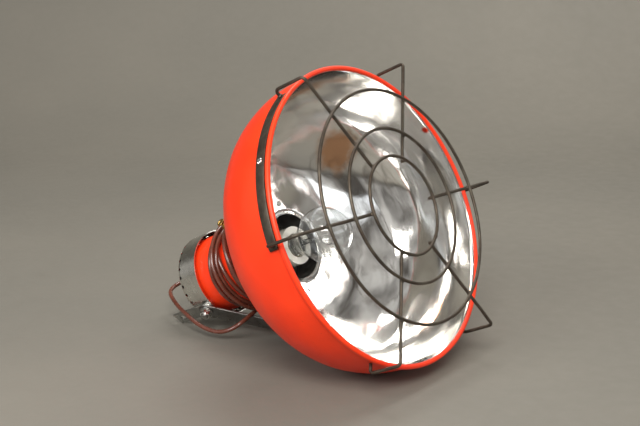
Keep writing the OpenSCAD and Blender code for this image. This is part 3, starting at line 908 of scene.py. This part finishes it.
# ---------------------------------------------------------------- CAD nodes that stay
def dress(mat, *nodes):
    """Give CAD nodes the material mat."""
    for node in nodes:
        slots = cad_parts[node].data.materials
        slots.clear()
        slots.append(mat)


dress(NECK, "neck_housing")
dress(SPUN, "vent_cap")
dress(ZINC, "neck_rivets", "cap_spacers", "pivot_bolts", "pivot_washers")
dress(ZINC, "chain_lug_near", "chain_lug_far", "holder_carrier", "holder_screws")
dress(PORCELAIN, "holder_body")
dress(BRASS, "centre_contact", "terminals", "holder_lock_nuts")
dress(LIVE, "lead_live")
dress(NEUTRAL, "lead_neutral")
dress(BLACK, "gland_nut")
dress(BLACK_GLASS, "bulb_insulator")
dress(BULB_METAL, "bulb_contact")


def soften(node, width, segments=2):
    """A bevel of width mm on a CAD node's hard edges."""
    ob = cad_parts[node]
    m = ob.modifiers.new("edges", "BEVEL")
    m.width = width * MM
    m.segments = segments
    m.limit_method = "ANGLE"
    m.angle_limit = math.radians(40)
    m.harden_normals = False


for node in ("chain_lug_near", "chain_lug_far"):
    soften(node, 0.5)
soften("holder_body", 0.7, 3)
soften("holder_lock_nuts", 0.3)


# ---------------------------------------------------------------- pivot nuts
def hex_nut(parts, phi, r0, h, af, bore):
    """A chamfered hexagon nut, af across its flats, on the radial line through a pivot."""
    K, turn, sixth = 48, 0.3, math.pi / 3

    def hexr(k):
        a = (2 * math.pi * k / K + turn + sixth / 2) % sixth - sixth / 2
        return af / 2 / math.cos(a)

    rings = [
        [(min(hexr(k), most), z) for k in range(K)]
        for z, most in (
            (0, af / 2 - 0.2), (0.45, math.inf), (h - 0.9, math.inf), (h, af / 2 - 0.4)
        )
    ]
    rings += [[(bore + 0.7, h)] * K, [(bore, h - 0.7)] * K, [(bore, 0.5)] * K]
    verts = spun(pol(phi, r0, PIVOT_Z), radial(phi - 90), AXIS, radial(phi), rings, turn)
    parts.add(verts, bands(len(rings), K, True))


nuts = Parts()
for phi in (NEAR, NEAR + 180):
    hex_nut(nuts, phi, YOKE_OUT + 0.15 + 1.6, 6.5, 13, 4.0)  # past a gap and the washer
nuts = sharpen(nuts.object("hex_nuts", BRIGHT, "lamp", "bright_nut"))
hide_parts("pivot_nuts")

# ---------------------------------------------------------------- yoke
SWING = math.radians(46.8)  # at rest
BAR, HALF = 2.5, 11.0  # the bar's thickness and half its width
EDGE = 0.45
HOLE = 5.25  # the hanging hole's radius
NEAR_SIN, NEAR_COS = math.sin(math.radians(NEAR)), math.cos(math.radians(NEAR))
# The arm is as long as it takes for the bridge's near corner to rest on the floor
run = NEAR_SIN * CT * math.cos(SWING) - ST * math.sin(SWING)
height = (
    RIM_H
    - NEAR_COS * CT * YOKE_OUT
    - NEAR_SIN * CT * HALF * math.sin(SWING)
    - ST * (PIVOT_Z + HALF * math.cos(SWING))
)
ARM = height / run


def yoke_point(s, side, w):
    """s along the arm, side across the pivots, w across the bar."""
    p = s * math.cos(SWING) + w * math.sin(SWING)
    z = PIVOT_Z - s * math.sin(SWING) + w * math.cos(SWING)
    return W(-NEAR_SIN * side + NEAR_COS * p, NEAR_COS * side + NEAR_SIN * p, z)


def bar_ring(pos_out, normal, w_axis):
    """The bar's rounded section: outer face centre pos_out, its thickness along -normal."""
    h, t, e, e3 = HALF, BAR, EDGE, 0.3 * EDGE
    section = (
        (0, h - e), (e3, h - e3), (e, h),
        (t - e, h), (t - e3, h - e3), (t, h - e),
        (t, 0.33 * h), (t, -0.33 * h),
        (t, -h + e), (t - e3, -h + e3), (t - e, -h),
        (e, -h), (e3, -h + e3), (0, -h + e),
        (0, -0.33 * h), (0, 0.33 * h),
    )
    return [pos_out - normal * (n * MM) + w_axis * (w * MM) for n, w in section]


s_dir = (yoke_point(1, 0, 0) - yoke_point(0, 0, 0)).normalized()
q_dir = (yoke_point(0, 1, 0) - yoke_point(0, 0, 0)).normalized()
w_dir = (yoke_point(0, 0, 1) - yoke_point(0, 0, 0)).normalized()
R_OUT = 4.5  # outside radius of the two bends
START = 14.0  # where the arm leaves the plate round its pivot
CELL = 6.4  # half the length of the plate round the hanging hole


def arm(side):
    """Outer face centres and normals along one arm, from the pivot to the bend."""
    out = []
    for i in range(14):
        s = START + (ARM - R_OUT - START) * i / 13
        out.append((yoke_point(s, side * YOKE_OUT, 0), q_dir * side))
    for k in range(1, 9):
        a = math.radians(90 * k / 9)
        n = q_dir * (side * math.cos(a)) + s_dir * math.sin(a)
        c = yoke_point(ARM - R_OUT, side * (YOKE_OUT - R_OUT), 0)
        out.append((c + n * (R_OUT * MM), n))
    return out


def half_bridge(side):
    """The same from the bend to the plate round the hanging hole."""
    across = [(YOKE_OUT - R_OUT) * (1 - i / 6) for i in range(6)]
    return [(yoke_point(ARM, side * q, 0), s_dir) for q in across if q > CELL] + [
        (yoke_point(ARM, side * CELL, 0), s_dir)
    ]


def plate_with_hole(centre, normal, u, half_u, hole, round_end=False):
    """A flat piece of bar round a bore: square, or round on the -u side."""
    w = normal.cross(u).normalized()
    K, t, e3, tiny = 48, BAR, EDGE * 0.3, 1e-9
    angles = [2 * math.pi * k / K + math.pi / K for k in range(K)]
    verts = []

    def outline(a):
        c, s = math.cos(a), math.sin(a)
        if round_end and c < 0:
            return HALF
        return min(
            half_u / abs(c) if abs(c) > tiny else math.inf,
            HALF / abs(s) if abs(s) > tiny else math.inf,
        )

    for depth, shrink in ((0, EDGE), (e3, e3), (EDGE, 0), (t - EDGE, 0), (t - e3, e3), (t, EDGE)):
        most = HALF - shrink
        for a in angles:
            r = outline(a)
            x, y = r * math.cos(a), r * math.sin(a)
            y = max(-most, min(most, y))
            if round_end and x < 0 and math.hypot(x, y) > most:
                f = most / max(math.hypot(x, y), 1e-6)
                x, y = x * f, y * f
            verts.append(centre - normal * (depth * MM) + u * (x * MM) + w * (y * MM))
    for depth, grow in ((t, 0.3), (t - 0.3, 0), (0.3, 0), (0, 0.3)):
        verts += spun(centre, u, w, -normal, [[(hole + grow, depth)] * K], math.pi / K)
    return verts, bands(10, K, True)


bar = Parts()
for chunk in (arm(1) + half_bridge(1), half_bridge(-1)[::-1] + arm(-1)[::-1]):
    verts = []
    for pos, n in chunk:
        verts += bar_ring(pos, n, w_dir)
    bar.add(verts, bands(len(chunk), 16) + ends(len(chunk), 16))
bar.add(*plate_with_hole(yoke_point(ARM, 0, 0), s_dir, q_dir, CELL + 0.05, HOLE))
for side in (1, -1):
    pivot = yoke_point(0, side * YOKE_OUT, 0)
    bar.add(*plate_with_hole(pivot, q_dir * side, s_dir, START + 0.05, 4.08, True))
yoke = sharpen(bar.object("yoke_bar", DULL, "yoke", "dull_steel"), 50)
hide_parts(*[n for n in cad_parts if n.startswith("yoke")])

# ---------------------------------------------------------------- lock screws
locks, LOCK_HEAD = Parts(), 78  # LOCK_HEAD is where the heads stand, off the lamp's axis
for phi in LOCK_PHI:
    pts = [pol(phi, LOCK_HEAD - 30.6 * (90 - i) / 90, LOCK_Z) for i in range(91)]
    rad = [(2.5 - (0.32 if i % 3 == 1 else 0.0)) * MM for i in range(91)]
    locks.add(*tube_data(pts, rad, 20))
    K = 40
    prof = (
        (2.0, -0.05), (4.6, -0.05), (5.2, 0.5), (5.2, 2.5),
        (4.6, 3.0), (3.0, 3.0), (2.6, 2.4), (0.01, 2.4),
    )
    # The head's rim is knurled: every other point lies a little inside
    knurl = [[(r * (0.965 if k % 2 and r > 4 else 1), z) for k in range(K)] for r, z in prof]
    ax = radial(phi)
    verts = spun(pol(phi, LOCK_HEAD, LOCK_Z), AXIS, ax.cross(AXIS), ax, knurl)
    locks.add(verts, bands(len(prof), K) + [tuple(range(K))])
locks = sharpen(locks.object("brass_lock_screws", BRASS, "lamp", "brass_plate"), 45)
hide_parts("holder_lock_screws")

# ---------------------------------------------------------------- gland and strain relief
GLAND_TOP = 309.4


def at_gland(x, y, z):
    """W, off the lead's own line."""
    return W(x + GLAND[0], y + GLAND[1], z)


prof = [
    (3.05, 306), (3.05, GLAND_TOP), (6.6, GLAND_TOP), (8.4, 309.0), (9.0, 308.2),
    (9.0, 306.02), (5.9, 306.0), (5.9, 298.2), (3.2, 298.2),
]
verts, faces, _ = revolve_data(prof, 40, True, at_gland)
gland = sharpen(make("gland_shell", verts, faces, BLACK, "lamp", "black_rubber"), 45)
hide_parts("gland_body")
prof = []
for i in range(29):
    groove = 0.5 if 2 <= i <= 25 and i % 4 in (0, 1) else 0
    prof.append((6.0 - 2.1 * i / 28 - groove, GLAND_TOP + 20.6 * i / 28))
prof += [(3.5, 330.2), (2.85, 330.0), (2.85, GLAND_TOP)]
verts, faces, _ = revolve_data(prof, 32, True, at_gland)
relief = make("strain_relief_sleeve", verts, faces, BLACK, "lamp", "black_rubber")
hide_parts("strain_relief")


# ---------------------------------------------------------------- holder shell
PITCH = 3.63  # of the lamp thread


def threaded(radius, z0, z1, depth, per, thick):
    """A rolled sheet thread: a wall whose radius follows a helix, per rows to a turn."""
    SEGS, RUN_OUT = 64, 2.5
    rows = int((z1 - z0) / PITCH * per)
    verts = []
    for side in (0, 1):
        for i in range(rows + 1):
            z = z0 + (z1 - z0) * i / rows
            fade = min(1, (z - z0) / RUN_OUT, (z1 - z) / RUN_OUT)
            for k in range(SEGS):
                a = 2 * math.pi * k / SEGS
                r = radius - depth * fade * (0.5 - 0.5 * math.cos(2 * math.pi * z / PITCH + a))
                r -= thick * side
                verts.append(W(-math.sin(a) * r, math.cos(a) * r, z))
    o = (rows + 1) * SEGS
    wall = bands(rows + 1, SEGS)
    faces = wall + [tuple(o + i for i in f) for f in wall]
    for k in range(SEGS):
        j = (k + 1) % SEGS
        for at in (0, rows * SEGS):
            faces.append((at + k, at + j, o + at + j, o + at + k))
    return verts, faces


holder_shell = threaded(13.9, 143, 170, 0.0, 6, 0.62)
holder_shell = make("holder_thread_shell", *holder_shell, BRASS, "lamp", "brass_plate")
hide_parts("thread_shell")

# ---------------------------------------------------------------- bulb
base = Parts()
base.add(*threaded(13.2, 139, 163, 0.75, 8, 0.3))
verts, faces, _ = revolve_data([(12.4, 162.6), (11, 163.4), (9.4, 163.8)], 48)
base.add(verts, faces)
base = base.object("bulb_screw_base", BULB_METAL, "bulb", "bulb_metal")
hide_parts("bulb_base")


def bulb_outline(inset):
    """The globe from its tip, then the neck's smooth flare to the base."""
    pts = []
    R, C = 35 - inset, 90
    for i in range(61):
        a = math.radians(-90 + (90 + 47) * i / 60)
        pts.append((max(R * math.cos(a), 0.0), C + R * math.sin(a)))
    r0, z0 = pts[-1]
    neck = 12.5 - inset
    for i in range(1, 15):
        t = i / 14
        r = neck + (r0 - neck) * (1 - t) ** 2.1 * (1 + 0.55 * t)
        pts.append((r, z0 + (143 - z0) * t))
    return pts


prof = bulb_outline(0.0) + [(12.4, 144.4), (11.9, 144.4)] + bulb_outline(1.2)[::-1]
verts, faces, _ = revolve_data(prof, 96)
glass = make("bulb_envelope", verts, faces, GLASS, "bulb", "clear_glass")
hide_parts("bulb_glass")

# The stem: a flared foot, a press and the exhaust tube
prof = [
    (11.4, 143.2), (10.6, 141.5), (8.2, 138.2), (5.6, 134.0), (4.0, 128),
    (3.3, 122), (2.7, 116), (2.2, 112.6), (1.4, 111.4), (0.0, 111.0),
]
verts, faces, _ = revolve_data(prof, 40)
stem = make("bulb_glass_stem", verts, faces, GLASS, "bulb", "clear_glass")
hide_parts("bulb_stem")

wires = Parts()
for line, radius, sides in (
    (((3.0, 0, 116), (4.2, 0, 110), (8.0, 0.3, 99), (12.2, 0, 90.5), (12.9, 0, 88.4)), 0.35, 8),
    (((0.5, 0, 112), (1.5, 3, 103), (6.0, 9.5, 92), (6.8, 11, 88.4)), 0.16, 6),
):
    for side in (-1, 1):
        pts = smooth_line([W(side * x, y, z) for x, y, z in line], 5)
        wires.add(*tube_data(pts, radius * MM, sides))
wires = wires.object("bulb_support_wires", BULB_METAL, "bulb", "bulb_metal")
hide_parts("bulb_lead_in_wires")
coil, COIL_R, COIL_TURNS = [], 0.62, 60
for i in range(901):
    a = math.pi * i / 900
    b = 2 * math.pi * COIL_TURNS * i / 900
    r = 13 + COIL_R * math.cos(b)
    coil.append(W(r * math.cos(a), r * math.sin(a), 88 + COIL_R * math.sin(b)))
filament = make("bulb_filament_coil", *tube_data(coil, 0.1 * MM, 5), TUNGSTEN, "bulb", "tungsten")
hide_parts("bulb_filament")

# ---------------------------------------------------------------- floor, light
FLOOR = studio_floor("studio_floor", lin(112, 109, 101), lin(120, 116, 107))
# The floor's section, as (distance from the lamp, height): it curves up into a wall
EDGE_AT, RISE = 1.05, 0.9
sweep = [(-6.0, 0.0), (-2.0, 0.0), (0.0, 0.0), (EDGE_AT, 0.0)]
for k in range(1, 13):
    a = math.radians(90 * k / 12)
    sweep.append((EDGE_AT + RISE * math.sin(a), RISE - RISE * math.cos(a)))
sweep.append((1.95, 4.0))
fwd = Vector((ahead.x, ahead.y, 0)).normalized()
sid = Vector((fwd.y, -fwd.x, 0))
verts = [fwd * d + sid * s + Vector((0, 0, h)) for d, h in sweep for s in (-6.0, 6.0)]
faces = [(i, i + 1, i + 3, i + 2) for i in range(0, 2 * len(sweep) - 2, 2)]
floor = make("studio_sweep", verts, faces, FLOOR, None, None)


def area_light(name, at, towards, size, power, color=(1, 1, 1), size_y=None):
    d = bpy.data.lights.new(name, "AREA")
    d.energy = power
    d.color = color
    d.shape = "RECTANGLE"
    d.size = size
    d.size_y = size_y or size
    o = bpy.data.objects.new(name, d)
    bpy.context.scene.collection.objects.link(o)
    o.location = at
    v = Vector(towards) - Vector(at)
    o.rotation_mode = "QUATERNION"
    o.rotation_quaternion = v.to_track_quat("-Z", "Y")


area_light("key", (-1.35, -0.95, 1.55), (0, 0, 0.12), 1.0, 44, (1, 0.975, 0.93), 0.8)
area_light("left", (-1.9, 0.35, 1.05), (0, 0.02, 0.12), 0.8, 22, (0.97, 0.98, 1.0), 0.7)
area_light("front_band", (0.15, -2.1, 0.8), (0.02, -0.05, 0.2), 2.6, 5, (0.9, 0.95, 1.0), 0.42)
area_light("front_right", (1.6, -1.3, 0.72), (0.02, -0.05, 0.2), 0.75, 2.0, (1, 0.99, 0.97), 0.36)
area_light("top", (0.6, 0.3, 1.85), (0, 0, 0.1), 0.9, 17, (1, 0.985, 0.96), 0.6)
area_light("wall", (1.7, 0.1, 1.5), (1.3, 1.9, 0.5), 0.8, 14, (1, 0.95, 0.88))
# A soft dark-and-light surround for the polished metal to reflect
world = bpy.data.worlds.new("studio")
world.use_nodes = True
wt = world.node_tree
place = wt.nodes.new("ShaderNodeTexCoord")
cloud = wt.nodes.new("ShaderNodeTexNoise")
cloud.inputs["Scale"].default_value = 2.4
cloud.inputs["Detail"].default_value = 2.0
tone = wt.nodes.new("ShaderNodeValToRGB")
for e, at, col in zip(
    tone.color_ramp.elements, (0.36, 0.66), ((0.10, 0.09, 0.08, 1), (0.86, 0.84, 0.80, 1))
):
    e.position = at
    e.color = col
wt.links.new(place.outputs["Generated"], cloud.inputs["Vector"])
wt.links.new(cloud.outputs["Fac"], tone.inputs["Fac"])
sky = wt.nodes["Background"]
wt.links.new(tone.outputs["Color"], sky.inputs["Color"])
sky.inputs["Strength"].default_value = 0.72
bpy.context.scene.world = world
bpy.context.scene.view_settings.view_transform = "Standard"
